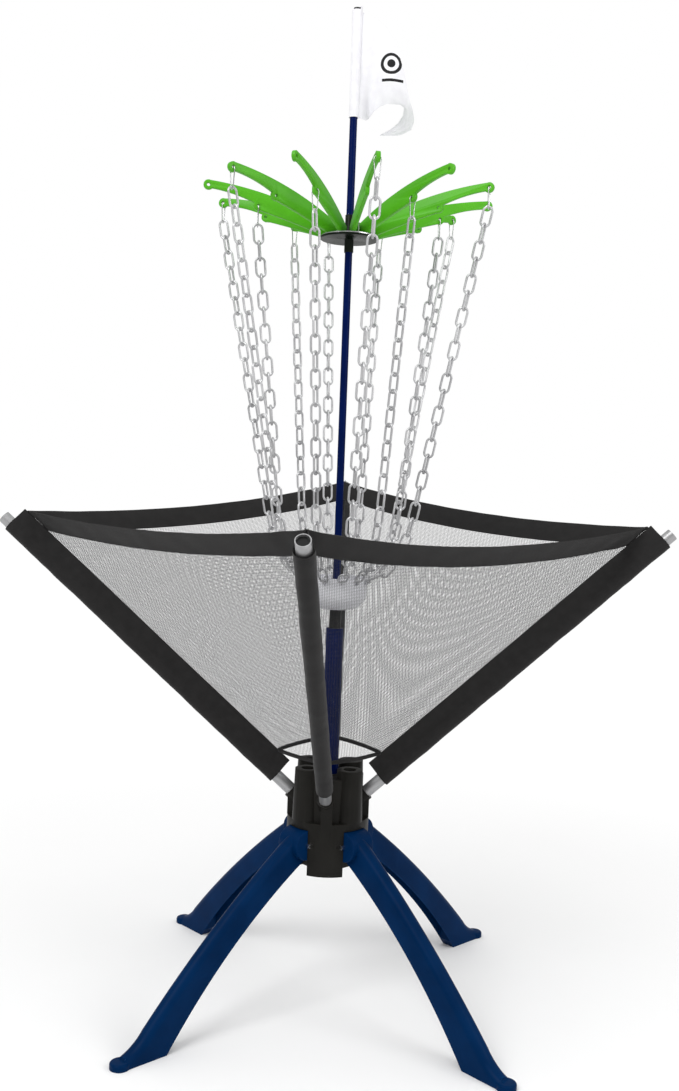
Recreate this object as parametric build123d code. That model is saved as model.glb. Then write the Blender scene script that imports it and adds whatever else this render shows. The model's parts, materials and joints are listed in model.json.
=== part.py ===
"""Portable disc golf basket: folding four-leg stand, fabric catcher on four tubes, mast with
twelve chain arms, chains and a flag. Millimetres, +Z up, origin on the floor under the mast."""

from build123d import *
from math import asin, atan2, cos, degrees, dist, radians, sin
import os

# ---------------------------------------------------------------- driving dimensions
# Base hub
HUB_TOP = 386.0            # tops of the four corner lobes
HUB_DECK = 372.0           # deck between the lobes
HUB_SHOULDER = 303.0       # where the lobes end and the lower drum begins
HUB_BOTTOM = 218.0
DECK_R = 56.0
DRUM_R = 67.0
LOBE_AT = 48.0             # lobe centres, out from the mast
LOBE_TOP_R = 20.5
LOBE_FOOT_R = 23.0
LOBE_HOLE_R = 10.5
LOBE_HOLE_DEPTH = 60.0
RIB_W = 18.0               # rib under each tube socket

# Legs
LEG_W = 26.0
LEG_ROOT_W = 44.2          # the root fills its slot in the hub
LEG_SLOT_W = 45.0
LEG_SLOT_FROM = 32.0
LEG_SLOT_TOP = 291.0
LEG_ROOT_R = 24.0
LEG_NECK_R = LEG_ROOT_R - 1.0     # the leg's own rounded end, just inside its root boss
LEG_WALL = 3.5
PIVOT_AT = 62.0
PIVOT_Z = 266.0
PIN_R = 4.0
PIN_HALF = 27.0
PIN_CLEARANCE = 0.06
HEEL_AT = 318.0
TOE_AT = 405.0
TOE_R = 15.0               # round pad at the toe
TOE_H = 10.0

# Mast
LOWER_POLE_R = 14.2
LOWER_POLE_FOOT = 226.0
LOWER_POLE_TOP = 611.0
POLE_WALL = 1.6
FERRULE_R = 9.75
FERRULE_TOP = 642.0
FERRULE_SPIGOT = 70.0
MAST_R = 6.0
MAST_FOOT = 560.0
MAST_TOP = 1247.0
MAST_CLEARANCE = 0.05
COLLAR_R = 7.4
COLLAR_FOOT = 1218.0
COLLAR_TOP = 1277.0
FLAG_POLE_FOOT = 1250.0
FLAG_POLE_TOP = 1598.0
CAP_TOP = 1602.0

# Chain collector dish
DISH_R = 50.0
DISH_WALL = 2.4
DISH_FOOT = 643.0
DISH_RIM = 695.0
DISH_NECK_R = 20.0
EYE_R = 6.0                # small rings through the dish wall, one for each chain
EYE_WIRE_R = 1.0
EYE_HOLE_R = 2.7
EYE_AT = 51.3
EYE_Z = 692.0

# Head and arms
ARMS = 12
ARM_PHASE = 11.0           # turn of the first arm from -Y towards +X, degrees
ARM_T = 6.0
HEAD_R = 47.0
HEAD_FOOT = 1238.0
HEAD_TOP = 1241.0
PLATE_R = 45.5
PLATE_T = 2.0
TIP_HOLE = (227.0, 1308.3)   # chain hole at an arm's tip: out from the mast, height
MID_HOLE = (147.6, 1281.0)   # chain hole at an arm's lug
LUG_R = 7.8
CHAIN_HOLE_R = 2.6

# Chains
LINK_L = 34.0
LINK_W = 18.0
LINK_WIRE_R = 1.8
LINK_PITCH = 26.0
CHAIN_LINKS = (24, 22)     # links in a chain from a tip, and from a lug
HOOK_LINKS = 5             # links over which a chain turns inward at its foot
CLIP_DROP = 33.0           # from a chain hole down to the inside of the clip
CLIP_WIRE_R = 0.8
CLIP_TOP_R = 5.4
CLIP_LOW_R = 3.2

# Catcher: four tubes that lean outward from one point on the mast's axis
APEX_Z = 285.5
TUBE_L = 735.0
TUBE_R = 10.2
TUBE_WALL = 1.3
TUBE_FOOT = 36.0
SOCKET_R = 13.5
SOCKET_END = 84.0
SOCKET_CLEARANCE = 0.1
TUBE_ROOM = 0.8            # gap round a tube where it passes the deck and lobes
SLEEVE_R = 13.0
SLEEVE_FOOT = 118.0
SLEEVE_END = 718.0
# (name, turn from -Y towards +X, lean above level), as the stretched fabric holds each tube
TUBES = [("front", -2.4, 42.25), ("right", 90.0, 42.8), ("back", 180.8, 49.7), ("left", 270.0, 41.5)]
FABRIC_T = 1.2
BAND_T = 2.4
BAND_W = 46.0
EDGE_GAP = 14.5            # fabric edge out from a tube's axis
PANEL_FOOT = 165.0
BAND_SAG = 16.0
HEM_R = 78.0
HEM_Z = 408.0

# Flag
FLAG_FOOT = 1431.0
FLAG_TOP = 1596.0
FLAG_SLEEVE_R = 8.4
FLAG_T = 1.6


# ---------------------------------------------------------------- helpers
def up_cylinder(radius, low, high):
    """A cylinder about the mast's axis between two heights."""
    return Pos(0, 0, low) * Cylinder(radius, high - low, align=(Align.CENTER, Align.CENTER, Align.MIN))


def up_tube(outer, inner, low, high):
    """A tube about the mast's axis between two heights."""
    return up_cylinder(outer, low, high) - up_cylinder(inner, low - 1, high + 1)


def turned(shape, turn):
    """A shape modelled along +X, turned so that it points to this azimuth from -Y towards +X."""
    return Rot(0, 0, turn - 90) * shape


def tube_direction(turn, lean):
    """Unit vector along a catcher tube."""
    out = cos(radians(lean))
    return Vector(out * sin(radians(turn)), -out * cos(radians(turn)), sin(radians(lean)))


def along_tube(tube, radius, start, end):
    """A cylinder along a catcher tube, between two distances from the point where the tubes meet."""
    way = tube_direction(tube[1], tube[2])
    foot = Plane(origin=Vector(0, 0, APEX_Z) + way * start, z_dir=way)
    return foot * Cylinder(radius, end - start, align=(Align.CENTER, Align.CENTER, Align.MIN))


def save(shape, name):
    export_step(Compound(children=shape) if isinstance(shape, list) else shape, f"parts/{name}.step")


# ---------------------------------------------------------------- base
def base_hub():
    body = up_cylinder(DECK_R, HUB_SHOULDER - 1, HUB_DECK) + up_cylinder(DRUM_R, HUB_BOTTOM, HUB_SHOULDER)
    lobe = Pos(LOBE_AT, 0, HUB_SHOULDER) * Cone(
        LOBE_FOOT_R, LOBE_TOP_R, HUB_TOP - HUB_SHOULDER, align=(Align.CENTER, Align.CENTER, Align.MIN)
    )
    hole = Pos(LOBE_AT, 0, HUB_TOP - LOBE_HOLE_DEPTH) * Cylinder(
        LOBE_HOLE_R, LOBE_HOLE_DEPTH + 1, align=(Align.CENTER, Align.CENTER, Align.MIN)
    )
    slot = Pos(LEG_SLOT_FROM, 0, HUB_BOTTOM - 1) * Box(
        DRUM_R, LEG_SLOT_W, LEG_SLOT_TOP - HUB_BOTTOM + 1, align=(Align.MIN, Align.CENTER, Align.MIN)
    )
    pin_hole = Pos(PIVOT_AT, 0, PIVOT_Z) * Rot(90, 0, 0) * Cylinder(PIN_R, 2 * PIN_HALF + 30)
    rib = Pos(DRUM_R, 0, HUB_SHOULDER - 1) * Box(
        DRUM_R / 2, RIB_W, 44, align=(Align.MAX, Align.CENTER, Align.MIN)
    )
    for corner in range(4):
        body += turned(lobe, 45 + 90 * corner)
    for tube in TUBES:
        body += turned(rib, round(tube[1] / 90) * 90)
        body += along_tube(tube, SOCKET_R, TUBE_FOOT, SOCKET_END)
    for corner in range(4):
        body -= turned(slot, 45 + 90 * corner)
        body -= turned(hole, 45 + 90 * corner)
        body -= turned(pin_hole, 45 + 90 * corner)
    for tube in TUBES:
        body -= along_tube(tube, TUBE_R + SOCKET_CLEARANCE, TUBE_FOOT, SOCKET_END + 1)
        body -= along_tube(tube, TUBE_R + TUBE_ROOM, SOCKET_END, SOCKET_END + 60)
    body -= up_cylinder(LOWER_POLE_R, LOWER_POLE_FOOT, HUB_TOP + 1)
    return body


def leg_side():
    """A leg's side view on the XZ plane, pointing along +X, with its foot on the floor."""
    lean = radians(-31)
    out, up = -LEG_NECK_R * sin(lean), LEG_NECK_R * cos(lean)
    top = (PIVOT_AT + out, PIVOT_Z + up)
    under = (PIVOT_AT - out, PIVOT_Z - up)
    back = (PIVOT_AT - up, PIVOT_Z + out)
    ankle = (350.0, 42.0)
    instep = (TOE_AT - TOE_R + 2.0, 12.0)
    toe = (instep[0], 0.0)
    heel = (HEEL_AT, 0.0)
    outline = [
        ThreePointArc(under, back, top),
        ThreePointArc(top, (235.0, 156.0), ankle),
        ThreePointArc(ankle, (368.0, 24.0), instep),
        Line(instep, toe),
        Line(toe, heel),
        ThreePointArc(heel, (200.0, 132.0), under),
    ]
    return Plane.XZ * make_face(outline)


def leg_hollow():
    """The channel's open underside, from behind the root to the foot."""
    behind, ahead = 100.0, 322.0
    outline = [
        ThreePointArc((behind, 262.0), (233.0, 151.5), (ahead, 63.0)),
        Line((ahead, 63.0), (ahead - 30, -10.0)),
        Line((ahead - 30, -10.0), (behind, 120.0)),
        Line((behind, 120.0), (behind, 262.0)),
    ]
    return Plane.XZ * make_face(outline)


def leg(corner):
    """Hollow-backed leg with the wide boss that fills the hub's slot and a round pad under its toe."""
    body = extrude(leg_side(), LEG_W / 2, both=True)
    body += Pos(PIVOT_AT, 0, PIVOT_Z) * Rot(90, 0, 0) * Cylinder(LEG_ROOT_R, LEG_ROOT_W)
    body += Pos(TOE_AT - TOE_R, 0, 0) * Cylinder(TOE_R, TOE_H, align=(Align.CENTER, Align.CENTER, Align.MIN))
    body -= extrude(leg_hollow(), LEG_W / 2 - LEG_WALL, both=True)
    body -= Pos(PIVOT_AT, 0, PIVOT_Z) * Rot(90, 0, 0) * Cylinder(PIN_R + PIN_CLEARANCE, LEG_ROOT_W + 2)
    return turned(body, 45 + 90 * corner)


def leg_pins():
    pin = Pos(PIVOT_AT, 0, PIVOT_Z) * Rot(90, 0, 0) * Cylinder(PIN_R, 2 * PIN_HALF)
    return [turned(pin, 45 + 90 * corner) for corner in range(4)]


# ---------------------------------------------------------------- mast
def lower_pole():
    return up_tube(LOWER_POLE_R, LOWER_POLE_R - POLE_WALL, LOWER_POLE_FOOT, LOWER_POLE_TOP)


def ferrule():
    """Black reducer: its spigot stands in the lower pole and its bore takes the mast."""
    spigot = up_cylinder(LOWER_POLE_R - POLE_WALL, LOWER_POLE_TOP - FERRULE_SPIGOT, LOWER_POLE_TOP)
    nose = up_cylinder(FERRULE_R, LOWER_POLE_TOP, FERRULE_TOP)
    rim = nose.edges().sort_by(Axis.Z)[-1:]
    return spigot + chamfer(rim, 1.5) - up_cylinder(MAST_R + MAST_CLEARANCE, MAST_FOOT, FERRULE_TOP + 1)


def main_pole():
    return up_cylinder(MAST_R, MAST_FOOT, MAST_TOP)


def dish():
    """White cup that gathers the chains, open at the top, fixed round the mast."""
    turn_in = 24.0
    outside = [
        Line((MAST_R, DISH_FOOT), (DISH_NECK_R, DISH_FOOT)),
        ThreePointArc((DISH_NECK_R, DISH_FOOT), (DISH_R - 8.0, DISH_FOOT + 8.0), (DISH_R, DISH_FOOT + turn_in)),
        Line((DISH_R, DISH_FOOT + turn_in), (DISH_R, DISH_RIM)),
        Line((DISH_R, DISH_RIM), (DISH_R - DISH_WALL, DISH_RIM)),
        Line((DISH_R - DISH_WALL, DISH_RIM), (DISH_R - DISH_WALL, DISH_FOOT + turn_in)),
        ThreePointArc(
            (DISH_R - DISH_WALL, DISH_FOOT + turn_in),
            (DISH_R - 9.5, DISH_FOOT + 9.5),
            (DISH_NECK_R, DISH_FOOT + DISH_WALL),
        ),
        Line((DISH_NECK_R, DISH_FOOT + DISH_WALL), (MAST_R + 3.0, DISH_FOOT + DISH_WALL)),
        Line((MAST_R + 3.0, DISH_FOOT + DISH_WALL), (MAST_R + 3.0, DISH_FOOT + 26.0)),
        Line((MAST_R + 3.0, DISH_FOOT + 26.0), (MAST_R, DISH_FOOT + 26.0)),
        Line((MAST_R, DISH_FOOT + 26.0), (MAST_R, DISH_FOOT)),
    ]
    cup = revolve(Plane.XZ * make_face(outside), Axis.Z)
    eye_hole = Pos(DISH_R - DISH_WALL / 2, 0, EYE_Z - EYE_R + 0.4) * Rot(0, 90, 0) * Cylinder(EYE_HOLE_R, 8)
    for k in range(ARMS):
        cup -= turned(eye_hole, arm_turn(k))
    return cup


def dish_rings():
    """Small steel rings through the dish's wall, one for each chain."""
    ring = Pos(EYE_AT, 0, EYE_Z) * Rot(90, 0, 0) * Torus(EYE_R, EYE_WIRE_R)
    return [turned(ring, arm_turn(k)) for k in range(ARMS)]


def arm_turn(k):
    return ARM_PHASE + 360.0 / ARMS * k


# ---------------------------------------------------------------- head
def head_base():
    """Moulded disc with the long black collar that joins the two poles."""
    body = up_cylinder(HEAD_R, HEAD_FOOT, HEAD_TOP)
    body = chamfer(body.edges().sort_by(Axis.Z)[:1], 1)
    body += up_cylinder(COLLAR_R, COLLAR_FOOT, COLLAR_TOP)
    return body - up_cylinder(MAST_R, COLLAR_FOOT - 1, MAST_TOP) - up_cylinder(
        MAST_R + MAST_CLEARANCE, MAST_TOP - 1, COLLAR_TOP + 1
    )


def head_plate():
    """Bright metal disc on the moulded base, under the arms."""
    return up_tube(PLATE_R, COLLAR_R, HEAD_TOP, HEAD_TOP + PLATE_T)


def head_posts():
    """Bolts that stand up between the arm roots."""
    post = Pos(34, 0, HEAD_TOP + PLATE_T) * Cylinder(2.6, 16, align=(Align.CENTER, Align.CENTER, Align.MIN))
    return [turned(post, ARM_PHASE + 15 + 90 * k) for k in range(4)]


def arm_side():
    """An arm's side view on the XZ plane: deep inner half, lug, slim outer half, knob."""
    seat = HEAD_TOP + PLATE_T
    tip = Pos(TIP_HOLE[0], TIP_HOLE[1]) * Circle(LUG_R)
    lug = Pos(MID_HOLE[0], MID_HOLE[1]) * Circle(LUG_R)
    outline = [
        Line((20.0, seat), (20.0, seat + 12)),
        ThreePointArc((20.0, seat + 12), (125.0, 1297.0), (TIP_HOLE[0] - 3, TIP_HOLE[1] + 7.2)),
        Line((TIP_HOLE[0] - 3, TIP_HOLE[1] + 7.2), (TIP_HOLE[0] - 3, TIP_HOLE[1] - 5)),
        ThreePointArc((TIP_HOLE[0] - 3, TIP_HOLE[1] - 5), (188.0, 1297.0), (MID_HOLE[0] + 6, MID_HOLE[1] + 4)),
        Line((MID_HOLE[0] + 6, MID_HOLE[1] + 4), (MID_HOLE[0] - 2, MID_HOLE[1] - 7.2)),
        ThreePointArc((MID_HOLE[0] - 2, MID_HOLE[1] - 7.2), (92.0, 1258.5), (46.0, seat)),
        Line((46.0, seat), (20.0, seat)),
    ]
    side = make_face(outline) + tip + lug
    for hole in (TIP_HOLE, MID_HOLE):
        side -= Pos(hole[0], hole[1]) * Circle(CHAIN_HOLE_R)
    return Plane.XZ * side


def arm(k):
    return turned(extrude(arm_side(), ARM_T / 2, both=True), arm_turn(k))


# ---------------------------------------------------------------- chains
def chain_hole(k):
    """The arm hole that chain k hangs from: tips and lugs take turns."""
    return TIP_HOLE if k % 2 == 0 else MID_HOLE


def clip(k):
    """A pear of thin wire: round the chain hole at the top, under the first link at the bottom."""
    out, high = chain_hole(k)
    low_at = high - CLIP_DROP + CLIP_LOW_R
    top_at = high + CHAIN_HOLE_R - CLIP_WIRE_R - 0.2 - CLIP_TOP_R
    lean = asin((CLIP_TOP_R - CLIP_LOW_R) / (top_at - low_at))
    low_side = (CLIP_LOW_R * cos(lean), low_at - CLIP_LOW_R * sin(lean))
    top_side = (CLIP_TOP_R * cos(lean), top_at - CLIP_TOP_R * sin(lean))
    loop = [
        ThreePointArc((-low_side[0], low_side[1]), (0, low_at - CLIP_LOW_R), low_side),
        Line(low_side, top_side),
        ThreePointArc(top_side, (0, top_at + CLIP_TOP_R), (-top_side[0], top_side[1])),
        Line((-top_side[0], top_side[1]), (-low_side[0], low_side[1])),
    ]
    path = Plane.YZ.offset(out) * Wire(loop)
    wire = Plane(origin=path @ 0, z_dir=path % 0) * Circle(CLIP_WIRE_R)
    return turned(sweep(wire, path=path), arm_turn(k))


def hanging_shape(links, hook):
    """Joints of a chain that hangs straight and turns by this much inward over its last links."""
    joints = [(0.0, 0.0)]
    for i in range(links):
        part = max(0.0, (i - links + HOOK_LINKS + 1) / HOOK_LINKS)
        turn = radians(hook * part * part)
        joints.append((joints[-1][0] - LINK_PITCH * sin(turn), joints[-1][1] - LINK_PITCH * cos(turn)))
    return joints


def fitted_joints(k):
    """Where chain k's links meet, as (out, up) points: its hook is as tight as its spare length needs."""
    out, high = chain_hole(k)
    first = (out, high - CLIP_DROP + LINK_WIRE_R)
    last = (EYE_AT + EYE_R - EYE_WIRE_R - LINK_WIRE_R, EYE_Z)
    least, most = 0.0, 150.0
    for _ in range(40):
        hook = (least + most) / 2
        if dist((0, 0), hanging_shape(CHAIN_LINKS[k % 2], hook)[-1]) > dist(first, last):
            least = hook
        else:
            most = hook
    joints = hanging_shape(CHAIN_LINKS[k % 2], hook)
    swing = atan2(last[1] - first[1], last[0] - first[0]) - atan2(joints[-1][1], joints[-1][0])
    return [
        (first[0] + x * cos(swing) - y * sin(swing), first[1] + x * sin(swing) + y * cos(swing)) for x, y in joints
    ]


def link():
    """One chain link, lying along +X, flat on the XY plane."""
    half = LINK_L / 2 - LINK_W / 2
    width = LINK_W / 2 - LINK_WIRE_R
    straight = Rot(0, 90, 0) * Cylinder(LINK_WIRE_R, 2 * half)
    bend = Torus(width, LINK_WIRE_R) & Pos(LINK_W, 0, 0) * Box(2 * LINK_W, 2 * LINK_W, LINK_W)
    whole = Pos(half, 0, 0) * bend + Pos(-half, 0, 0) * (Rot(0, 0, 180) * bend)
    return whole + Pos(0, width, 0) * straight + Pos(0, -width, 0) * straight


def chain(k):
    joints = fitted_joints(k)
    shape = link()
    links = []
    for i, (a, b) in enumerate(zip(joints, joints[1:])):
        lean = degrees(atan2(b[1] - a[1], b[0] - a[0]))
        middle = ((a[0] + b[0]) / 2, (a[1] + b[1]) / 2)
        twist = 90 * ((i + 1) % 2)
        placed = Pos(middle[0], 0, middle[1]) * Rot(0, -lean, 0) * Rot(twist, 0, 0) * shape
        links.append(turned(placed, arm_turn(k)))
    return links


# ---------------------------------------------------------------- catcher
def basket_tube(tube):
    return along_tube(tube, TUBE_R, TUBE_FOOT, TUBE_L) - along_tube(tube, TUBE_R - TUBE_WALL, TUBE_FOOT - 1, TUBE_L + 1)


def tube_plugs():
    inner = TUBE_R - TUBE_WALL
    return [along_tube(tube, inner, TUBE_L - 16, TUBE_L - 4) for tube in TUBES]


def sleeve(tube):
    """Fabric sleeve round a tube."""
    return along_tube(tube, SLEEVE_R, SLEEVE_FOOT, SLEEVE_END) - along_tube(
        tube, TUBE_R + 0.1, SLEEVE_FOOT - 1, SLEEVE_END + 1
    )


def side_plane(first, second):
    """The plane of the fabric between two tubes, its X down the middle, and half the angle between them."""
    one, two = tube_direction(*first[1:]), tube_direction(*second[1:])
    middle = (one + two).normalized()
    across = one.cross(two).normalized()
    return Plane(origin=(0, 0, APEX_Z), x_dir=middle, z_dir=across), radians(one.get_angle(two)) / 2


def side_point(half, side, reach, gap):
    """A point beside a tube, in the side's plane: so far along the tube, so far in from its axis."""
    return (reach * cos(half) + gap * sin(half), side * (reach * sin(half) - gap * cos(half)))


def side_panel(first, second):
    """Mesh between two tubes, from the bottom opening up to the band."""
    plane, half = side_plane(first, second)
    foot = [side_point(half, s, PANEL_FOOT, EDGE_GAP) for s in (-1, 1)]
    top = [side_point(half, s, SLEEVE_END - 6 - BAND_W, EDGE_GAP) for s in (-1, 1)]
    sag = top[0][0] - BAND_SAG
    outline = [
        ThreePointArc(foot[0], (foot[0][0] + 10, 0), foot[1]),
        Line(foot[1], top[1]),
        ThreePointArc(top[1], (sag, 0), top[0]),
        Line(top[0], foot[0]),
    ]
    return extrude(plane * make_face(outline), FABRIC_T / 2, both=True)


def top_band(first, second):
    """Webbing along a side's top edge, which sags a little between the tubes."""
    plane, half = side_plane(first, second)
    low = [side_point(half, s, SLEEVE_END - 5 - BAND_W, EDGE_GAP) for s in (-1, 1)]
    high = [side_point(half, s, SLEEVE_END - 5, EDGE_GAP) for s in (-1, 1)]
    outline = [
        ThreePointArc(low[0], (low[0][0] - BAND_SAG, 0), low[1]),
        Line(low[1], high[1]),
        ThreePointArc(high[1], (high[0][0] - BAND_SAG, 0), high[0]),
        Line(high[0], low[0]),
    ]
    return extrude(plane * make_face(outline), BAND_T / 2, both=True)


def bottom_hem():
    """Bound edge of the opening round the mast."""
    return Pos(0, 0, HEM_Z) * Torus(HEM_R, 2.5)


# ---------------------------------------------------------------- flag
def flag_pole():
    return up_tube(MAST_R, MAST_R - 1.2, FLAG_POLE_FOOT, FLAG_POLE_TOP)


def pole_cap():
    plug = up_cylinder(MAST_R - 1.2, FLAG_POLE_TOP - 12, FLAG_POLE_TOP)
    return plug + up_cylinder(MAST_R, FLAG_POLE_TOP, CAP_TOP)


def flag():
    """Pennant: a hem that slides over the pole and one leaf."""
    hem = up_tube(FLAG_SLEEVE_R, MAST_R + 0.35, FLAG_FOOT, FLAG_TOP)
    outline = [
        Line((7.6, FLAG_FOOT), (7.6, FLAG_TOP)),
        ThreePointArc((7.6, FLAG_TOP), (66.0, 1540.0), (95.0, 1436.0)),
        ThreePointArc((95.0, 1436.0), (55.0, 1446.0), (7.6, FLAG_FOOT)),
    ]
    leaf = extrude(Plane.XZ * make_face(outline), FLAG_T / 2, both=True)
    return hem + leaf


# ---------------------------------------------------------------- write the parts
def main():
    os.makedirs("parts", exist_ok=True)
    save(base_hub(), "base_hub")
    save(leg_pins(), "leg_pivot_pins")
    for corner, name in enumerate(("front_right", "back_right", "back_left", "front_left")):
        save(leg(corner), f"leg_{name}")
    save(lower_pole(), "lower_pole")
    save(ferrule(), "pole_ferrule")
    save(main_pole(), "main_pole")
    save(dish(), "chain_dish")
    save(dish_rings(), "dish_rings")
    save(head_base(), "head_base")
    save(head_plate(), "head_plate")
    save(head_posts(), "head_posts")
    save([clip(k) for k in range(ARMS)], "chain_clips")
    for k in range(ARMS):
        save(arm(k), f"arm_{k + 1:02d}")
        save(chain(k), f"chain_{k + 1:02d}")
    save(tube_plugs(), "tube_end_plugs")
    save(bottom_hem(), "bottom_hem")
    for tube, after in zip(TUBES, TUBES[1:] + TUBES[:1]):
        corner = f"{tube[0]}_{after[0]}"
        save(basket_tube(tube), f"basket_tube_{tube[0]}")
        save(sleeve(tube), f"tube_sleeve_{tube[0]}")
        save(side_panel(tube, after), f"mesh_panel_{corner}")
        save(top_band(tube, after), f"top_band_{corner}")
    save(flag_pole(), "flag_pole")
    save(pole_cap(), "pole_cap")
    save(flag(), "flag")


main()
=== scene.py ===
"""Looks of the portable disc golf basket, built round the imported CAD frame. Metres, +Z up."""

import bmesh
import bpy
import json
from math import acos, cos, pi, radians, sin
from mathutils import Matrix, Vector, noise


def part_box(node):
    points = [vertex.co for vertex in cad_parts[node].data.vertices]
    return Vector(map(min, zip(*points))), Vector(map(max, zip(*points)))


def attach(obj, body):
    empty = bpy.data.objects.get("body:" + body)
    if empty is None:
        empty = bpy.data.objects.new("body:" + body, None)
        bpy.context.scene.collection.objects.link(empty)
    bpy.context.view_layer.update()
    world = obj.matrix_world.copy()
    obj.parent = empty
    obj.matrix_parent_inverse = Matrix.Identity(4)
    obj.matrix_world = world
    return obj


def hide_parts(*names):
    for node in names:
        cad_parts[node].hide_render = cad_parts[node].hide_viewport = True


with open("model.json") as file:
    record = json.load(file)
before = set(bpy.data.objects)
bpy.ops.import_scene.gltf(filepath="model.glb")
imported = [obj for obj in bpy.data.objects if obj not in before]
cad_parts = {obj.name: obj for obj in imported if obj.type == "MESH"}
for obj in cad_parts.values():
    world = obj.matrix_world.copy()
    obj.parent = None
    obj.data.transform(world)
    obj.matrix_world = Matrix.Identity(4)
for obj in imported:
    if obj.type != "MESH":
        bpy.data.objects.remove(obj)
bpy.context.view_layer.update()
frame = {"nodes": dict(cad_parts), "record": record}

# ---------------------------------------------------------------- sizes the looks share with the CAD
CORNERS = ("front_right", "back_right", "back_left", "front_left")
SIDES = (("front", "right"), ("right", "back"), ("back", "left"), ("left", "front"))
# turn from -Y towards +X and lean above level of each catcher tube, in degrees
TUBES = {"front": (-2.4, 42.25), "right": (90.0, 42.8), "back": (180.8, 49.7), "left": (270.0, 41.5)}
APEX = Vector((0, 0, 0.2855))
POCKET_R = 0.0128            # the sleeve's fabric round a tube
POCKET_IN = 0.033            # from a tube's axis in to the seam that holds the side panels
POCKET_FOOT, POCKET_END = 0.118, 0.718
SLEEVE_FLAP = 0.030          # what is sewn together on each side of that seam
PANEL_FOOT, PANEL_TOP = 0.144, 0.713
BAND_W = 0.046
BAND_THICK = 0.0016
# how far the middle of each side's band hangs below the straight line between its corners
BAND_SAG = {"front": 0.034, "right": 0.022, "back": 0.022, "left": 0.022}
HEM_BULGE = 0.007            # how far the bound opening bows out between two sleeves
HEM_R = 0.0026
HEM_START_R = 0.075          # the ring's radius before it is drawn to the sleeves
RIM_STEPS = 36               # points read along each side's lower edge
LEG_W = 0.026
RIDGE_R = 0.0125             # a leg's rounded upper edge
PIVOT = (0.062, 0.266)
ROOT_R, ROOT_W = 0.024, 0.0442
NECK_R = ROOT_R - 0.001      # the leg's own rounded end, inside its root boss
PAD_AT, PAD_R, PAD_H = 0.390, 0.015, 0.010
WALL = 0.0035
HOLLOW_FROM, HOLLOW_TO, HOLLOW_DEPTH = 0.105, 0.31, 0.026
FLAG_FOOT = 1.431
FLAG_HEM_R, FLAG_HEM_H = 0.0076, 0.168
FLAG_PEAK = 0.009            # the slanting top of the flag's hem
COLLAR_TIP_R, COLLAR_TIP_H = 0.009, 0.0075
FLOOR_REACH = 14.0
NET_ROWS = 1.73              # height of a net cell over its width


# ---------------------------------------------------------------- shader helpers
def wire(tree, value, socket):
    """Links a socket to a socket, or sets a plain value on it."""
    if isinstance(value, bpy.types.NodeSocket):
        tree.links.new(value, socket)
    else:
        socket.default_value = value


def add(tree, kind, inputs=None, **settings):
    node = tree.nodes.new(kind)
    for name, value in settings.items():
        setattr(node, name, value)
    for name, value in (inputs or {}).items():
        wire(tree, value, node.inputs[name])
    return node


def sums(tree, operation, a, b=0.5, c=0.0):
    node = add(tree, "ShaderNodeMath", operation=operation)
    for value, socket in zip((a, b, c), node.inputs):
        wire(tree, value, socket)
    return node.outputs[0]


def spread(tree, value, low, high, to_low=0.0, to_high=1.0):
    node = add(tree, "ShaderNodeMapRange", {"Value": value, "From Min": low, "From Max": high,
                                            "To Min": to_low, "To Max": to_high})
    return node.outputs["Result"]


def tinted(tree, share, first, second):
    node = add(tree, "ShaderNodeMix", data_type="RGBA")
    wire(tree, share, node.inputs[0])
    wire(tree, first, node.inputs[6])
    wire(tree, second, node.inputs[7])
    return node.outputs[2]


def group(name, inputs, outputs):
    """A node group with these float inputs, and its group input and output nodes."""
    tree = bpy.data.node_groups.new(name, "ShaderNodeTree")
    for label, value in inputs.items():
        made = tree.interface.new_socket(name=label, in_out="INPUT", socket_type="NodeSocketFloat")
        made.default_value = value
    for label in outputs:
        tree.interface.new_socket(name=label, in_out="OUTPUT", socket_type="NodeSocketFloat")
    return tree, tree.nodes.new("NodeGroupInput").outputs, tree.nodes.new("NodeGroupOutput").inputs


def grain_group():
    """Moulded or painted skin: soft patches, a fine grain, and sparse scuffs."""
    tree, values, results = group("skin grain", {"Grain scale": 900.0, "Patch scale": 14.0, "Scuffs": 0.3},
                                  ("Patches", "Grain", "Scuff"))
    where = add(tree, "ShaderNodeTexCoord").outputs["Object"]
    patch = add(tree, "ShaderNodeTexNoise", {"Vector": where, "Scale": values["Patch scale"], "Detail": 4.0})
    fine = add(tree, "ShaderNodeTexNoise", {"Vector": where, "Scale": values["Grain scale"], "Detail": 2.0})
    streak = add(tree, "ShaderNodeMapping", {"Vector": where, "Scale": (1.0, 1.0, 0.18)})
    scratch = add(tree, "ShaderNodeTexNoise", {"Vector": streak.outputs[0], "Scale": 120.0, "Detail": 5.0})
    wire(tree, patch.outputs[0], results["Patches"])
    wire(tree, fine.outputs[0], results["Grain"])
    marks = spread(tree, scratch.outputs[0], 0.62, 0.75)
    wire(tree, sums(tree, "MULTIPLY", marks, values["Scuffs"]), results["Scuff"])
    return tree


def edge_group():
    """Where a corner is rubbed: a mask from how far a softened normal leans off the true one."""
    tree, values, results = group("rubbed edges", {"Radius": 0.0015, "Amount": 1.0}, ("Edge",))
    soft = add(tree, "ShaderNodeBevel", {"Radius": values["Radius"]}, samples=4)
    true = add(tree, "ShaderNodeNewGeometry").outputs["Normal"]
    lean = add(tree, "ShaderNodeVectorMath", {0: soft.outputs[0], 1: true}, operation="DOT_PRODUCT")
    where = add(tree, "ShaderNodeTexCoord").outputs["Object"]
    broken = add(tree, "ShaderNodeTexNoise", {"Vector": where, "Scale": 90.0, "Detail": 4.0})
    edge = spread(tree, lean.outputs["Value"], 0.985, 0.85)
    rough = spread(tree, broken.outputs[0], 0.35, 0.65)
    both = sums(tree, "MULTIPLY", edge, rough)
    wire(tree, sums(tree, "MULTIPLY", both, values["Amount"]), results["Edge"])
    return tree


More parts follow.
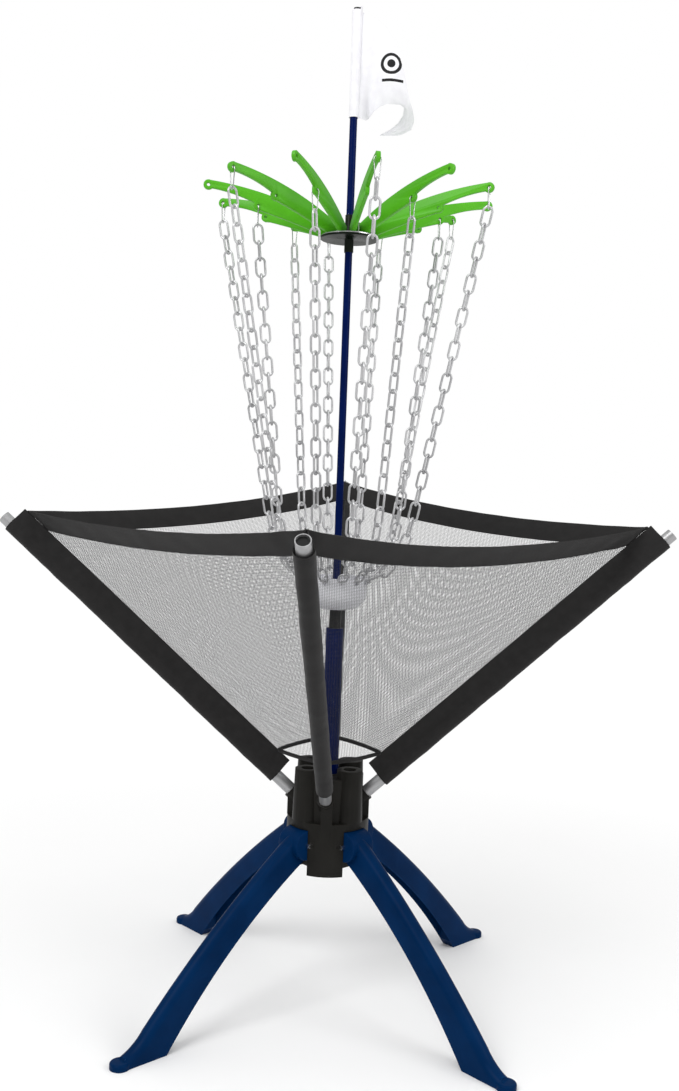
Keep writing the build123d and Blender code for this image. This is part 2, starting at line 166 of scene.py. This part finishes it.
def weave_group():
    """Plain weave on the cloth's own flat coordinates in metres: thread height and its mottle."""
    tree, values, results = group("plain weave", {"Thread": 0.0009}, ("Height", "Mottle"))
    flat = add(tree, "ShaderNodeUVMap", uv_map="cloth").outputs[0]
    across = add(tree, "ShaderNodeSeparateXYZ", {"Vector": flat}).outputs
    turns = sums(tree, "DIVIDE", pi, values["Thread"])
    weft = sums(tree, "SINE", sums(tree, "MULTIPLY", across[0], turns))
    warp = sums(tree, "SINE", sums(tree, "MULTIPLY", across[1], turns))
    wire(tree, sums(tree, "MULTIPLY", weft, warp), results["Height"])
    mottle = add(tree, "ShaderNodeTexNoise", {"Vector": flat, "Scale": 60.0, "Detail": 5.0})
    wire(tree, mottle.outputs[0], results["Mottle"])
    return tree


def net_group():
    """Knitted net on the cloth's flat coordinates: staggered round holes between threads."""
    tree, values, results = group("knitted net", {"Pitch": 0.0032, "Hole": 0.4}, ("Thread", "Height"))
    flat = add(tree, "ShaderNodeUVMap", uv_map="cloth").outputs[0]
    row = sums(tree, "MULTIPLY", values["Pitch"], NET_ROWS)
    size = add(tree, "ShaderNodeCombineXYZ", {"X": values["Pitch"], "Y": row, "Z": 1.0}).outputs[0]

    def vector(operation, a, b=(0, 0, 0)):
        return add(tree, "ShaderNodeVectorMath", {0: a, 1: b}, operation=operation).outputs

    nearest = None
    for shift in (0.0, 0.5):
        cell = vector("DIVIDE", flat, size)[0]
        inside = vector("FRACTION", vector("ADD", cell, (shift, shift, 0.0))[0])[0]
        off = vector("SUBTRACT", inside, (0.5, 0.5, 0.0))[0]
        away = vector("LENGTH", vector("MULTIPLY", off, (1.0, NET_ROWS, 0.0))[0])["Value"]
        nearest = away if nearest is None else sums(tree, "MINIMUM", nearest, away)
    thread = spread(tree, sums(tree, "SUBTRACT", nearest, values["Hole"]), -0.02, 0.02)
    wire(tree, thread, results["Thread"])
    wire(tree, spread(tree, nearest, 0.4, 0.6), results["Height"])
    return tree


GRAIN, EDGES, WEAVE, NET = grain_group(), edge_group(), weave_group(), net_group()


def placed(tree, which, **values):
    node = add(tree, "ShaderNodeGroup", node_tree=which)
    for name, value in values.items():
        wire(tree, value, node.inputs[name.replace("_", " ")])
    return node.outputs


def material(name):
    made = bpy.data.materials.new(name)
    made.use_nodes = True
    return made, made.node_tree, made.node_tree.nodes["Principled BSDF"]


def bumped(tree, shader, height, depth, distance):
    bump = add(tree, "ShaderNodeBump", {"Height": height, "Strength": depth, "Distance": distance})
    tree.links.new(bump.outputs[0], shader.inputs["Normal"])


def skin(name, dark, light, roughness, grain=900.0, depth=0.15, scuffs=0.3, rubbed=None, coat=0.0, metal=0.0,
         shine=0.5):
    """A moulded, painted or metal skin: two close tones in patches, scuffs, rubbed edges and a fine grain."""
    made, tree, shader = material(name)
    marks = placed(tree, GRAIN, Grain_scale=grain, Scuffs=scuffs)
    colour = tinted(tree, spread(tree, marks["Patches"], 0.35, 0.65), (*dark, 1), (*light, 1))
    if rubbed:
        edge = placed(tree, EDGES, Radius=0.0016, Amount=0.6)
        colour = tinted(tree, edge["Edge"], colour, (*rubbed, 1))
    scuffed = (*(1.6 * c + 0.02 for c in light), 1)
    colour = tinted(tree, sums(tree, "MULTIPLY", marks["Scuff"], 0.5), colour, scuffed)
    wire(tree, colour, shader.inputs["Base Color"])
    gloss = spread(tree, marks["Patches"], 0.3, 0.7, roughness - 0.05, roughness + 0.06)
    rougher = sums(tree, "MULTIPLY", marks["Scuff"], 0.15)
    wire(tree, sums(tree, "ADD", gloss, rougher), shader.inputs["Roughness"])
    shader.inputs["Metallic"].default_value = metal
    shader.inputs["Specular IOR Level"].default_value = shine
    shader.inputs["Coat Weight"].default_value = coat
    shader.inputs["Coat Roughness"].default_value = 0.15
    bumped(tree, shader, marks["Grain"], depth, 0.0002)
    return made


def cloth(name, dark, light, thread, sheen=0.3, roughness=0.85):
    """Woven cloth: two close tones by mottle and a painted highlight on the raised threads, with the weave as
    relief.
    """
    made, tree, shader = material(name)
    threads = placed(tree, WEAVE, Thread=thread)
    # painted highlight and shade: the weave's height lightens the raised threads and darkens the dips between
    # them, on top of the random mottle
    share = sums(tree, "MULTIPLY_ADD", threads["Height"], 0.25, threads["Mottle"])
    colour = tinted(tree, spread(tree, share, 0.2, 0.8), (*dark, 1), (*light, 1))
    wire(tree, colour, shader.inputs["Base Color"])
    wire(tree, spread(tree, threads["Mottle"], 0.3, 0.7, roughness - 0.06, roughness + 0.06),
         shader.inputs["Roughness"])
    shader.inputs["Sheen Weight"].default_value = sheen
    shader.inputs["Sheen Roughness"].default_value = 0.4
    shader.inputs["Specular IOR Level"].default_value = 0.2
    bumped(tree, shader, threads["Height"], 0.35, 0.0002)
    return made


def net_material():
    made, tree, shader = material("black knitted net")
    net = placed(tree, NET, Pitch=0.0032, Hole=0.42)
    # painted shade: the threads are darker towards their hole edges and lighter on their crowns, following
    # the net's relief height
    painted_thread_shade = tinted(tree, net["Height"], (0.010, 0.010, 0.0105, 1), (0.028, 0.028, 0.029, 1))
    wire(tree, painted_thread_shade, shader.inputs["Base Color"])
    wire(tree, net["Thread"], shader.inputs["Alpha"])
    shader.inputs["Roughness"].default_value = 0.6
    shader.inputs["Specular IOR Level"].default_value = 0.15
    bumped(tree, shader, net["Height"], 0.4, 0.0004)
    return made


def flag_material():
    """White nylon with a plain printed disc and two bars, on the flag's own flat coordinates."""
    made = cloth("white nylon flag", (0.80, 0.79, 0.83), (0.90, 0.90, 0.92), 0.0006, sheen=0.15,
                 roughness=0.6)
    tree = made.node_tree
    shader = tree.nodes["Principled BSDF"]
    under = shader.inputs["Base Color"].links[0].from_socket
    flat = add(tree, "ShaderNodeUVMap", uv_map="cloth").outputs[0]
    middle = add(tree, "ShaderNodeVectorMath", {0: flat, 1: (0.057, 0.082, 0.0)}, operation="DISTANCE")
    ring = sums(tree, "COMPARE", middle.outputs["Value"], 0.0145, 0.0024)
    dot = sums(tree, "LESS_THAN", middle.outputs["Value"], 0.0065)
    place = add(tree, "ShaderNodeSeparateXYZ", {"Vector": flat}).outputs
    bars = sums(tree, "MULTIPLY", sums(tree, "COMPARE", place[0], 0.060, 0.017),
                sums(tree, "COMPARE", place[1], 0.056, 0.0022))
    ink = sums(tree, "MAXIMUM", sums(tree, "MAXIMUM", ring, dot), bars)
    wire(tree, tinted(tree, ink, under, (0.012, 0.012, 0.013, 1)), shader.inputs["Base Color"])
    return made


FINISHES = {
    "hub_plastic": skin(
        "black moulded hub", (0.0085, 0.0080, 0.0070), (0.0145, 0.0138, 0.0120), roughness=0.42,
        grain=700.0, depth=0.25, scuffs=0.15, rubbed=(0.035, 0.031, 0.024), shine=0.10),
    "leg_blue": skin(
        "navy moulded leg", (0.0003, 0.015, 0.060), (0.0005, 0.021, 0.082), roughness=0.34,
        grain=800.0, depth=0.12, scuffs=0.08, rubbed=(0.001, 0.030, 0.110), shine=0.03),
    "pole_blue": skin(
        "blue enamelled pole", (0.0006, 0.006, 0.055), (0.0008, 0.008, 0.075), roughness=0.25,
        grain=500.0, depth=0.05, scuffs=0.05, shine=0.05),
    "bright_steel": skin(
        "bright steel", (0.55, 0.55, 0.56), (0.72, 0.72, 0.73), roughness=0.24,
        grain=600.0, depth=0.08, scuffs=0.3, metal=1.0),
    "tube_metal": skin(
        "dull zinc tube", (0.37, 0.37, 0.375), (0.44, 0.44, 0.445), roughness=0.42,
        grain=1100.0, depth=0.25, scuffs=0.5, metal=0.75),
    "black_plastic": skin(
        "black fitting plastic", (0.008, 0.008, 0.008), (0.014, 0.014, 0.014), roughness=0.34,
        grain=900.0, depth=0.12, scuffs=0.15, rubbed=(0.04, 0.04, 0.04), shine=0.25),
    "head_plastic": skin(
        "black head plastic", (0.004, 0.007, 0.004), (0.007, 0.012, 0.006), roughness=0.3,
        grain=900.0, depth=0.1, scuffs=0.08, rubbed=(0.03, 0.04, 0.03), shine=0.08),
    "arm_green": skin(
        "green arm plastic", (0.070, 0.37, 0.006), (0.088, 0.44, 0.008), roughness=0.42,
        grain=900.0, depth=0.1, scuffs=0.1, rubbed=(0.038, 0.22, 0.006), shine=0.3),
    "chain_zinc": skin(
        "zinc plated chain", (0.50, 0.50, 0.51), (0.66, 0.66, 0.67), roughness=0.34,
        grain=420.0, depth=0.2, scuffs=0.4, metal=0.65),
    "dish_white": skin(
        "white dish plastic", (0.78, 0.78, 0.82), (0.84, 0.84, 0.87), roughness=0.42,
        grain=900.0, depth=0.1, scuffs=0.1, rubbed=(0.8, 0.8, 0.82)),
    "mesh": net_material(),
    "webbing": cloth(
        "black polyester", (0.011, 0.0105, 0.0105), (0.022, 0.021, 0.021), 0.0011, sheen=0.12),
    "flag_cloth": flag_material(),
}


# ---------------------------------------------------------------- mesh helpers
def turn_to(azimuth):
    """Turns what points along +X to this azimuth, measured from -Y towards +X."""
    return Matrix.Rotation(radians(azimuth - 90), 4, "Z")


def piece(bm, name, slot, body, replaced=(), sharp=32.0):
    """A bmesh as a finished piece that rides on a body and stands for CAD nodes."""
    mesh = bpy.data.meshes.new(name)
    bm.to_mesh(mesh)
    bm.free()
    for face in mesh.polygons:
        face.use_smooth = True
    mesh.set_sharp_from_angle(angle=radians(sharp))
    made = bpy.data.objects.new(name, mesh)
    bpy.context.scene.collection.objects.link(made)
    mesh.materials.append(FINISHES[slot])
    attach(made, body)
    if replaced:
        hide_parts(*replaced)
    return made


def eased(node, name, slot, body, width=0.0008, segments=2):
    """A CAD node's shape with its sharp corners eased."""
    bm = bmesh.new()
    bm.from_mesh(frame["nodes"][node].data)
    bmesh.ops.remove_doubles(bm, verts=bm.verts, dist=1e-6)
    bmesh.ops.dissolve_limit(bm, angle_limit=radians(1.0), verts=bm.verts, edges=bm.edges)
    corners = [e for e in bm.edges if len(e.link_faces) == 2 and e.calc_face_angle(0) > radians(35)]
    bmesh.ops.bevel(bm, geom=corners, offset=width, offset_type="OFFSET", segments=segments, profile=0.5,
                    affect="EDGES", clamp_overlap=True, material=-1)
    return piece(bm, name, slot, body, (node,))


def gridded(columns, rows, place, thickness=0.0):
    """A sheet of cloth: place(u, v) gives a point and its flat (across, along) coordinates in metres."""
    bm = bmesh.new()
    bmesh.ops.create_grid(bm, x_segments=columns, y_segments=rows, size=0.5)
    flat = bm.loops.layers.uv.new("cloth")
    spots = {v.index: place(v.co.x + 0.5, v.co.y + 0.5) for v in bm.verts}
    for face in bm.faces:
        for loop in face.loops:
            loop[flat].uv = spots[loop.vert.index][1]
    for v in bm.verts:
        v.co = spots[v.index][0]
    bm.normal_update()
    if thickness:
        bmesh.ops.solidify(bm, geom=bm.faces[:], thickness=thickness)
    return bm


def smoothed(bm, verts, factor, times):
    for _ in range(times):
        bmesh.ops.smooth_vert(bm, verts=verts, factor=factor, use_axis_x=True, use_axis_y=True,
                              use_axis_z=True)


def ripple(where, scale, seed=0.0):
    return noise.noise(Vector(where) * scale + Vector((seed, seed, seed)))


# ---------------------------------------------------------------- catcher fabric
def tube_axes(name):
    """A tube's direction and the directions square to it: inward-and-up, and sideways."""
    turn, lean = (radians(a) for a in TUBES[name])
    out = Vector((sin(turn), -cos(turn), 0))
    along = out * cos(lean) + Vector((0, 0, sin(lean)))
    inward = -out * sin(lean) + Vector((0, 0, cos(lean)))
    return along, inward, along.cross(inward)


def seam_point(name, reach):
    """A point on the seam where a sleeve holds its two side panels."""
    along, inward, _ = tube_axes(name)
    return APEX + along * reach + inward * POCKET_IN


def sleeve(name):
    """Fabric that goes round a tube and closes in two flaps on the seam, square to the tube."""
    along, inward, side = tube_axes(name)
    touch = acos(POCKET_R / POCKET_IN)
    arc = POCKET_R * (2 * pi - 2 * touch)
    girth = 2 * SLEEVE_FLAP + arc

    def place(u, v):
        walk = u * girth
        reach = POCKET_FOOT + v * (POCKET_END - POCKET_FOOT)
        crease = ripple((reach, walk * 0.6, 0), 26.0, len(name)) + 0.5 * ripple((reach, walk, 1), 70.0)
        if SLEEVE_FLAP < walk < SLEEVE_FLAP + arc:
            a = touch + (walk - SLEEVE_FLAP) / POCKET_R
            r = POCKET_R + 0.0007 * crease
            spot = inward * (r * cos(a)) + side * (r * sin(a))
        else:
            first = walk <= SLEEVE_FLAP
            share = (SLEEVE_FLAP - walk if first else walk - SLEEVE_FLAP - arc) / SLEEVE_FLAP
            edge = 1 if first else -1
            n = POCKET_R * cos(touch) * (1 - share) + POCKET_IN * share
            b = (POCKET_R * sin(touch) * (1 - share) ** 1.7 + 0.0012) * edge
            pinch = 0.0022 * crease * sin(pi * min(1, share * 1.1)) + 0.0006 * crease
            spot = inward * n + side * (b + pinch)
        return APEX + along * reach + spot, (walk, reach)

    bm = gridded(44, 110, place, -0.0008)
    made = piece(bm, f"sleeve_{name}", "webbing", "base", (f"tube_sleeve_{name}",), 60)
    return made


def side_place(first, second):
    """The stretched cloth between two sleeves: place(u, t), u across and t from the opening up to the rim."""
    ends = [(seam_point(n, PANEL_FOOT), seam_point(n, PANEL_TOP)) for n in (first, second)]
    foot = (ends[0][0] + ends[1][0]) / 2
    top = (ends[0][1] + ends[1][1]) / 2
    middle = (top - foot).normalized()
    bulge = Vector((foot.x, foot.y, 0)).normalized()
    face = (ends[1][1] - ends[0][1]).cross(middle).normalized()
    width = ((ends[1][1] - ends[0][1]).length, (ends[1][0] - ends[0][0]).length)

    def place(u, t):
        a, b = (e[0].lerp(e[1], t) for e in ends)
        bow = 1 - (2 * u - 1) ** 2
        spot = a.lerp(b, u) + bow * ((1 - t) * HEM_BULGE * bulge - t * BAND_SAG[first] * middle)
        wave = ripple((u * 3, t * 2, 0), 1.3, foot.x * 9) * 0.004 * sin(pi * t) * bow
        across = (u - 0.5) * (width[1] + (width[0] - width[1]) * t)
        return spot + face * wave, (across, t * (top - foot).length), face

    return place, width, (top - foot).length


def side_cloth(first, second):
    """Net panel and its webbing band."""
    pair = f"{first}_{second}"
    reach = PANEL_TOP - PANEL_FOOT
    seam = 1 - BAND_W / reach
    place, width, height = side_place(first, second)
    net = gridded(72, 64, lambda u, v: place(u, v * (seam + 0.008))[:2])
    panel = piece(net, f"net_{pair}", "mesh", "base", (f"mesh_panel_{pair}",), 80)

    def band_place(u, v):
        spot, flat, face = place(u, seam + (1 - seam) * v)
        corner = min(u, 1 - u)
        tug = max(0.0, 1 - corner / 0.16)
        fold = ripple((u * 18, v * 1.5, 2), 1.0, TUBES[first][0] * 0.37) * 0.0022 * (0.35 + tug)
        lip = 0.0012 * sin(pi * v)
        return spot + face * (fold - lip), flat

    webbing = gridded(110, 8, band_place, BAND_THICK)
    band = piece(webbing, f"band_{pair}", "webbing", "base", (f"top_band_{pair}",), 60)


def hem():
    """Bound edge of the opening round the mast: a slim ring drawn out at the four sleeves."""
    bm = bmesh.new()
    bmesh.ops.create_circle(bm, segments=12, radius=HEM_R)
    bmesh.ops.scale(bm, vec=(0.6, 1.35, 1), verts=bm.verts)
    bmesh.ops.rotate(bm, matrix=Matrix.Rotation(radians(90), 3, "X"), verts=bm.verts)
    bmesh.ops.translate(bm, vec=(HEM_START_R, 0, 0), verts=bm.verts)
    bmesh.ops.spin(bm, geom=bm.verts[:] + bm.edges[:], cent=(0, 0, 0), axis=(0, 0, 1), angle=2 * pi,
                   steps=144, use_merge=True)
    bmesh.ops.remove_doubles(bm, verts=bm.verts, dist=1e-6)
    bmesh.ops.recalc_face_normals(bm, faces=bm.faces)
    rim = []
    for first, second in SIDES:
        place = side_place(first, second)[0]
        rim += [place(i / RIM_STEPS, 0.0)[0] for i in range(RIM_STEPS)]
    for v in bm.verts:
        nearest = min(rim, key=lambda p: -(p.x * v.co.x + p.y * v.co.y) / Vector((p.x, p.y)).length)
        out = Vector((v.co.x, v.co.y, 0)).normalized()
        v.co += out * (Vector((nearest.x, nearest.y)).length - HEM_START_R) + Vector((0, 0, nearest.z))
    smoothed(bm, bm.verts, 0.2, 3)
    flat = bm.loops.layers.uv.new("cloth")
    for face in bm.faces:
        for loop in face.loops:
            loop[flat].uv = (loop.vert.co.x + loop.vert.co.y, loop.vert.co.z + loop.vert.co.x)
    return piece(bm, "hem_ring", "webbing", "base", ("bottom_hem",), 60)


# ---------------------------------------------------------------- legs
def arc(first, through, last, count):
    """Points on the circle through three points, from the first up to but not on the last."""
    a, b, c = (Vector(p) for p in (first, through, last))
    ab, bc = b - a, c - b
    d = 2 * (ab.x * bc.y - ab.y * bc.x)
    m, n = (b.length_squared - a.length_squared), (c.length_squared - b.length_squared)
    centre = Vector(((m * bc.y - n * ab.y) / d, (ab.x * n - bc.x * m) / d))
    start = a - centre
    sweep = start.angle_signed(c - centre)
    if sweep * start.angle_signed(b - centre) < 0:
        sweep += -2 * pi if sweep > 0 else 2 * pi
    return [centre + Matrix.Rotation(-sweep * i / count, 2) @ start for i in range(count)]


def leg_outline():
    """A leg's side view: (out, up) points round it from its root along the ridge to the toe and back."""
    lean = radians(-31)
    out, up = -NECK_R * sin(lean), NECK_R * cos(lean)
    top, under = (PIVOT[0] + out, PIVOT[1] + up), (PIVOT[0] - out, PIVOT[1] - up)
    back = (PIVOT[0] - up, PIVOT[1] + out)
    ankle, instep, toe, heel = (0.350, 0.042), (0.392, 0.012), (0.392, 0.0), (0.318, 0.0)
    points = arc(under, back, top, 12)
    points += arc(top, (0.235, 0.156), ankle, 22) + arc(ankle, (0.368, 0.024), instep, 8)
    points += [Vector(instep), Vector(toe)]
    return points + arc(heel, (0.200, 0.132), under, 22)


def stub(bm, radius, length, spot, softened):
    """A short round boss with softened rims; only the rims that stand clear of the floor."""
    made = bmesh.ops.create_cone(bm, cap_ends=True, segments=48, radius1=radius, radius2=radius, depth=length,
                                 matrix=spot)["verts"]
    edges = {e for v in made for e in v.link_edges if e.calc_face_angle(0) > radians(60)}
    rims = [e for e in edges if max(v.co.z for v in e.verts) > 0.001]
    bmesh.ops.bevel(bm, geom=rims, offset=softened, offset_type="OFFSET", segments=4, profile=0.5,
                    affect="EDGES", clamp_overlap=True, material=-1)


def leg(corner, name):
    """A leg: hollow underside, rounded ridge, the wide root that fills the hub's slot, and the toe pad."""
    bm = bmesh.new()
    outline = leg_outline()
    rim = [bm.verts.new((p.x, -LEG_W / 2, p.y)) for p in outline]
    side = bm.faces.new(rim)
    wall = bmesh.ops.extrude_face_region(bm, geom=[side])["geom"]
    bmesh.ops.translate(bm, vec=(0, LEG_W, 0), verts=[g for g in wall if isinstance(g, bmesh.types.BMVert)])
    bmesh.ops.recalc_face_normals(bm, faces=bm.faces)
    underside = [f for f in bm.faces if len(f.verts) == 4 and f.normal.z < -0.3
                 and HOLLOW_FROM < f.calc_center_median().x < HOLLOW_TO and f.calc_center_median().z > 0.004]
    bmesh.ops.inset_region(bm, faces=underside, thickness=WALL, use_even_offset=True)
    for v in {v for f in underside for v in f.verts}:
        v.co.z += HOLLOW_DEPTH
    long_edges = [e for e in bm.edges if len(e.link_faces) == 2 and e.calc_face_angle(0) > radians(50)
                  and all(abs(abs(v.co.y) - LEG_W / 2) < 1e-6 for v in e.verts)]
    crown = [e for e in long_edges if any(f.normal.z > 0.25 for f in e.link_faces)]
    bmesh.ops.bevel(bm, geom=crown, offset=RIDGE_R, offset_type="OFFSET", segments=6, profile=0.5,
                    affect="EDGES", clamp_overlap=False, material=-1)
    for v in bm.verts:
        v.co.z = max(v.co.z, 0.0)
    across = Matrix.Rotation(radians(90), 4, "X")
    stub(bm, ROOT_R, ROOT_W, Matrix.Translation((PIVOT[0], 0, PIVOT[1])) @ across, 0.0012)
    stub(bm, PAD_R, PAD_H, Matrix.Translation((PAD_AT, 0, PAD_H / 2)), 0.0035)
    bmesh.ops.transform(bm, matrix=turn_to(45 + 90 * corner), verts=bm.verts)
    piece(bm, f"leg_shell_{name}", "leg_blue", f"leg_{name}", (f"leg_{name}",), 28)


# ---------------------------------------------------------------- flag
FLAG_ROWS = (
    # share out from the hem, then upper and lower edge as (out, back, up)
    (0.00, (0.0076, 0.000, 1.597), (0.0080, 0.000, 1.431)),
    (0.10, (0.030, -0.004, 1.584), (0.0200, 0.009, 1.432)),
    (0.20, (0.044, -0.006, 1.573), (0.0300, 0.000, 1.440)),
    (0.32, (0.057, -0.008, 1.553), (0.0420, -0.006, 1.448)),
    (0.45, (0.069, -0.008, 1.528), (0.0530, -0.008, 1.4515)),
    (0.57, (0.079, -0.006, 1.499), (0.0640, -0.006, 1.4520)),
    (0.68, (0.086, -0.002, 1.470), (0.0740, -0.002, 1.4525)),
    (0.76, (0.0930, 0.003, 1.448), (0.0800, 0.004, 1.450)),
    (0.83, (0.0975, 0.010, 1.433), (0.0785, 0.012, 1.440)),
    (0.90, (0.0930, 0.018, 1.420), (0.0710, 0.020, 1.4305)),
    (0.96, (0.0760, 0.024, 1.4125), (0.0590, 0.025, 1.4215)),
    (1.00, (0.0430, 0.028, 1.4125), (0.0430, 0.028, 1.4135)),
)


def flag():
    """The leaf with its turned-over tip, and the hem that slides over the staff."""
    def edge(u, which):
        for low, high in zip(FLAG_ROWS, FLAG_ROWS[1:]):
            if u <= high[0]:
                share = (u - low[0]) / (high[0] - low[0])
                return Vector(low[which]).lerp(Vector(high[which]), share)
        return Vector(FLAG_ROWS[-1][which])

    def place(u, v):
        low, high = edge(u, 2), edge(u, 1)
        crown = 4 * v * (1 - v)
        spot = low.lerp(high, v)
        spot.y += -0.007 * crown * sin(pi * min(1, u * 1.4)) + 0.0012 * ripple((u * 3, v * 2, 0), 2.0)
        spot.y += 0.009 * (1 - v) ** 2 * max(0.0, 1 - abs(u - 0.13) / 0.09)
        return spot, (spot.x, spot.z - FLAG_FOOT)

    leaf = gridded(60, 40, place)
    smoothed(leaf, [v for v in leaf.verts if not v.is_boundary], 0.5, 4)
    bmesh.ops.solidify(leaf, geom=leaf.faces[:], thickness=0.0005)
    leaf_piece = piece(leaf, "flag_leaf", "flag_cloth", "flag", ("flag",), 70)

    def hem_place(u, v):
        a = 2 * pi * u
        peak = FLAG_PEAK * max(0.0, cos(a - 0.7)) * v ** 6
        up = FLAG_FOOT + FLAG_HEM_H * v + peak
        r = FLAG_HEM_R + 0.0005 * ripple((u * 4, up * 30, 0), 1.0) + 0.0008 * v ** 4 * cos(2 * a)
        return Vector((r * cos(a), r * sin(a), up)), (u * 0.048 + 0.3, up - FLAG_FOOT + 0.3)

    tunnel = gridded(32, 40, hem_place, 0.0005)
    tunnel_piece = piece(tunnel, "flag_hem", "flag_cloth", "flag", (), 70)


# ---------------------------------------------------------------- head collar with its bright tips
def head():
    """Head disc and collar; the collar's upper end is bare metal."""
    made = eased("head_base", "head_disc", "head_plastic", "mast", 0.0008)
    made.data.materials.append(FINISHES["bright_steel"])
    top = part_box("head_base")[1].z
    for face in made.data.polygons:
        if face.center.z > top - COLLAR_TIP_H and Vector(face.center[:2]).length < COLLAR_TIP_R:
            face.material_index = 1


# ---------------------------------------------------------------- floor, light, camera
def pale_floor():
    """A pale floor that fades into the white all round."""
    bm = bmesh.new()
    bmesh.ops.create_grid(bm, x_segments=2, y_segments=2, size=FLOOR_REACH)
    mesh = bpy.data.meshes.new("floor")
    bm.to_mesh(mesh)
    bm.free()
    floor = bpy.data.objects.new("floor", mesh)
    bpy.context.scene.collection.objects.link(floor)
    made, tree, shader = material("pale floor")
    where = add(tree, "ShaderNodeTexCoord").outputs["Object"]
    cloud = add(tree, "ShaderNodeTexNoise", {"Vector": where, "Scale": 3.0, "Detail": 3.0}).outputs[0]
    near = tinted(tree, cloud, (0.93, 0.93, 0.93, 1), (0.96, 0.96, 0.96, 1))
    away = add(tree, "ShaderNodeVectorMath", {0: where}, operation="LENGTH").outputs["Value"]
    fade = spread(tree, away, 0.35, 1.5)
    wire(tree, tinted(tree, fade, near, (0, 0, 0, 1)), shader.inputs["Base Color"])
    wire(tree, tinted(tree, fade, (0, 0, 0, 1), (1, 1, 1, 1)), shader.inputs["Emission Color"])
    shader.inputs["Emission Strength"].default_value = 1.0
    shader.inputs["Roughness"].default_value = 0.9
    shader.inputs["Specular IOR Level"].default_value = 0.1
    mesh.materials.append(made)


def white_room():
    """A sky that is brightest overhead, and white wherever the camera sees it."""
    world = bpy.data.worlds.new("studio")
    world.use_nodes = True
    tree = world.node_tree
    ahead = add(tree, "ShaderNodeTexCoord").outputs["Generated"]
    height = add(tree, "ShaderNodeSeparateXYZ", {"Vector": ahead})
    ceiling = spread(tree, height.outputs["Z"], 0.0, 0.9, 0.22, 1.0)
    seen = add(tree, "ShaderNodeLightPath").outputs["Is Camera Ray"]
    wire(tree, sums(tree, "MAXIMUM", ceiling, seen), tree.nodes["Background"].inputs["Strength"])
    tree.nodes["Background"].inputs["Color"].default_value = (1, 1, 1, 1)
    bpy.context.scene.world = world
    bpy.context.scene.view_settings.view_transform = "Standard"


def lamps():
    for name, spot, power, size in (("key", (-1.6, -2.2, 3.2), 60, 1.8), ("fill", (2.4, -1.4, 2.0), 25, 1.6)):
        lamp = bpy.data.lights.new(name, "AREA")
        lamp.energy, lamp.size = power, size
        at = bpy.data.objects.new(name, lamp)
        at.location = spot
        at.rotation_euler = (Vector((0, 0, 0.8)) - Vector(spot)).to_track_quat("-Z", "Y").to_euler()
        bpy.context.scene.collection.objects.link(at)


def camera():
    yaw, pitch, roll = radians(-1.767), radians(3.065), radians(2.122)
    ahead = Vector((sin(yaw) * cos(pitch), cos(yaw) * cos(pitch), -sin(pitch)))
    right = Vector((cos(yaw), -sin(yaw), 0))
    up = right.cross(ahead)
    across = right * cos(roll) + up * sin(roll)
    upward = up * cos(roll) - right * sin(roll)
    lens = bpy.data.cameras.new("camera")
    lens.sensor_width = 36.0
    lens.lens = 37.762
    made = bpy.data.objects.new("camera", lens)
    turn = Matrix((across, upward, -ahead)).transposed().to_4x4()
    made.matrix_world = Matrix.Translation((0.0602, -1.8620, 0.8459)) @ turn
    bpy.context.scene.collection.objects.link(made)
    bpy.context.scene.camera = made


def main():
    for part in frame["record"]["subparts"]:
        mesh = frame["nodes"][part["node"]].data
        mesh.materials.clear()
        mesh.materials.append(FINISHES[part["material_slot"]])
    pale_floor()
    white_room()
    lamps()
    camera()
    eased("base_hub", "hub_body", "hub_plastic", "base", 0.0012)
    for corner, name in enumerate(CORNERS):
        leg(corner, name)
    for k in range(1, 13):
        eased(f"arm_{k:02d}", f"arm_blade_{k:02d}", "arm_green", "mast", 0.0012)
    eased("pole_ferrule", "ferrule", "black_plastic", "base", 0.0006)
    eased("chain_dish", "dish", "dish_white", "mast", 0.0006)
    head()
    for name in TUBES:
        sleeve(name)
    for first, second in SIDES:
        side_cloth(first, second)
    hem()
    flag()


main()
